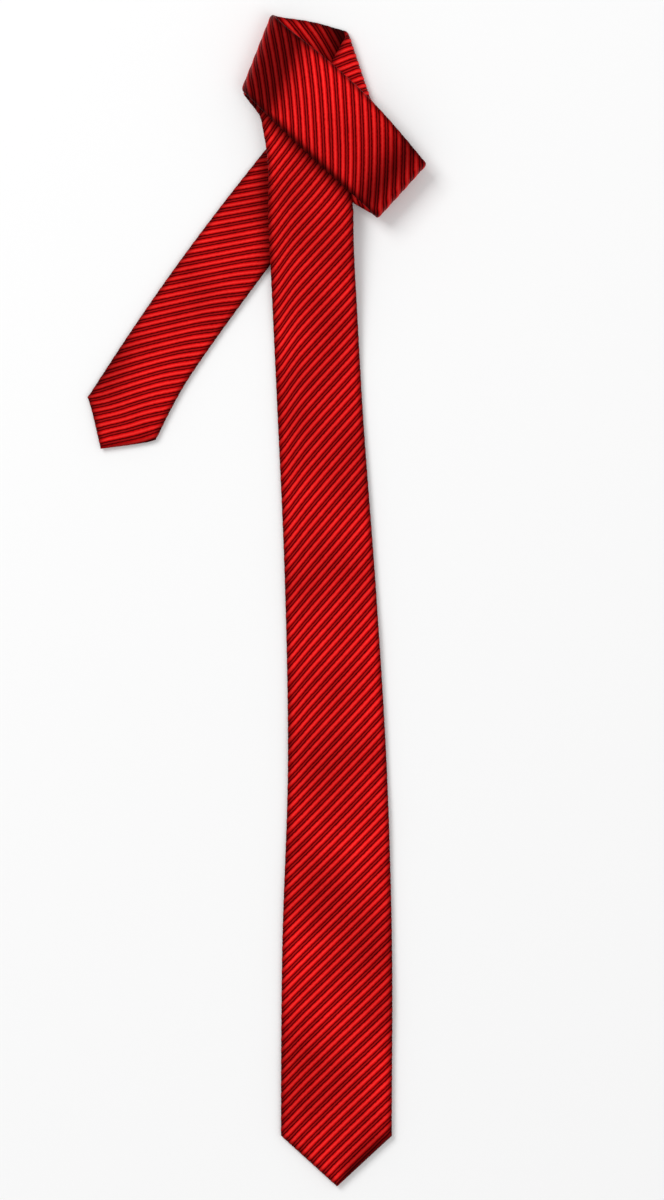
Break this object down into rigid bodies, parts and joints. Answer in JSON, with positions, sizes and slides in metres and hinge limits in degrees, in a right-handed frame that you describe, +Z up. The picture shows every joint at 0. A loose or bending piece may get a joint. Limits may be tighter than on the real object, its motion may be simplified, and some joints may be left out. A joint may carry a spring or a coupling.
{
  "type": "necktie",
  "caption": "Slim ribbed necktie laid flat with its neck in a loose folded coil; bends at its panels, blank labels and keeper on the back.",
  "frame": {"origin": "middle of the laid-out outline, on the surface that the tie lies on", "axes": "+Z up, +Y from the blade's point towards the coiled neck, +X across the blade to the right"},
  "size_m": [0.2129, 0.738, 0.0162],
  "materials": {
    "ribbed_silk": "silk with raised satin ribs on the bias, soft sheen",
    "interlining": "brushed wool and cotton interlining",
    "tipping_satin": "plain satin lining",
    "sewing_thread": "silk sewing thread",
    "label_dark": "woven damask label, blank",
    "label_pale": "printed satin ribbon, blank",
    "label_thread": "polyester thread"
  },
  "bodies": {
    "neck": {"blade_shell_top": "ribbed_silk", "neck_shell": "ribbed_silk", "tail_shell_top": "ribbed_silk", "interlining_neck": "interlining", "slip_stitch_neck": "sewing_thread", "blade_piecing_seam": "sewing_thread", "tail_piecing_seam": "sewing_thread"},
    "blade_upper": {"blade_shell_upper": "ribbed_silk", "interlining_blade_upper": "interlining", "slip_stitch_blade_upper": "sewing_thread"},
    "blade_middle": {"blade_shell_middle": "ribbed_silk", "interlining_blade_middle": "interlining", "slip_stitch_blade_middle": "sewing_thread"},
    "blade_lower": {"blade_shell_lower": "ribbed_silk", "interlining_blade_lower": "interlining", "slip_stitch_blade_lower": "sewing_thread", "keeper_loop": "ribbed_silk", "keeper_tacks": "sewing_thread", "maker_label": "label_dark", "maker_label_stitches": "label_thread", "care_label_stitches": "label_pale"},
    "blade_tip": {"blade_shell_tip": "ribbed_silk", "interlining_blade_tip": "interlining", "slip_stitch_blade_tip": "sewing_thread", "blade_tipping": "tipping_satin", "blade_hem_stitches": "sewing_thread", "blade_bar_tack": "sewing_thread", "spare_thread_loop": "sewing_thread"},
    "care_flap": {"care_label": "label_pale"},
    "tail_middle": {"tail_shell_middle": "ribbed_silk", "interlining_tail_middle": "interlining", "slip_stitch_tail_middle": "sewing_thread"},
    "tail_tip": {"tail_shell_tip": "ribbed_silk", "interlining_tail_tip": "interlining", "slip_stitch_tail_tip": "sewing_thread", "tail_tipping": "tipping_satin", "tail_hem_stitches": "sewing_thread", "tail_bar_tack": "sewing_thread"}
  },
  "joints": [
    {"name": "blade_bend_1", "type": "hinge", "parent": "neck", "child": "blade_upper", "pos_m": [0.0397, 0.12, 0.004], "axis": [-1, 0, 0], "range_deg": [0, 60]},
    {"name": "blade_bend_2", "type": "hinge", "parent": "blade_upper", "child": "blade_middle", "pos_m": [0.0463, 0.007, 0.004], "axis": [-1, 0, 0], "range_deg": [0, 60]},
    {"name": "blade_bend_3", "type": "hinge", "parent": "blade_middle", "child": "blade_lower", "pos_m": [0.0506, -0.106, 0.004], "axis": [-1, 0, 0], "range_deg": [0, 60]},
    {"name": "blade_bend_4", "type": "hinge", "parent": "blade_lower", "child": "blade_tip", "pos_m": [0.0505, -0.219, 0.004], "axis": [-1, 0, 0], "range_deg": [0, 60]},
    {"name": "tail_bend_1", "type": "hinge", "parent": "neck", "child": "tail_middle", "pos_m": [-0.02103, 0.20728, 0.0035], "axis": [-0.8219, 0.5697, 0], "range_deg": [0, 60]},
    {"name": "tail_bend_2", "type": "hinge", "parent": "tail_middle", "child": "tail_tip", "pos_m": [-0.05862, 0.15303, 0.0035], "axis": [-0.8219, 0.5697, 0], "range_deg": [0, 60]},
    {"name": "care_label_fold", "type": "hinge", "parent": "blade_lower", "child": "care_flap", "pos_m": [0.0504, -0.1935, 0.0003], "axis": [1, 0, 0], "range_deg": [0, 150]}
  ]
}
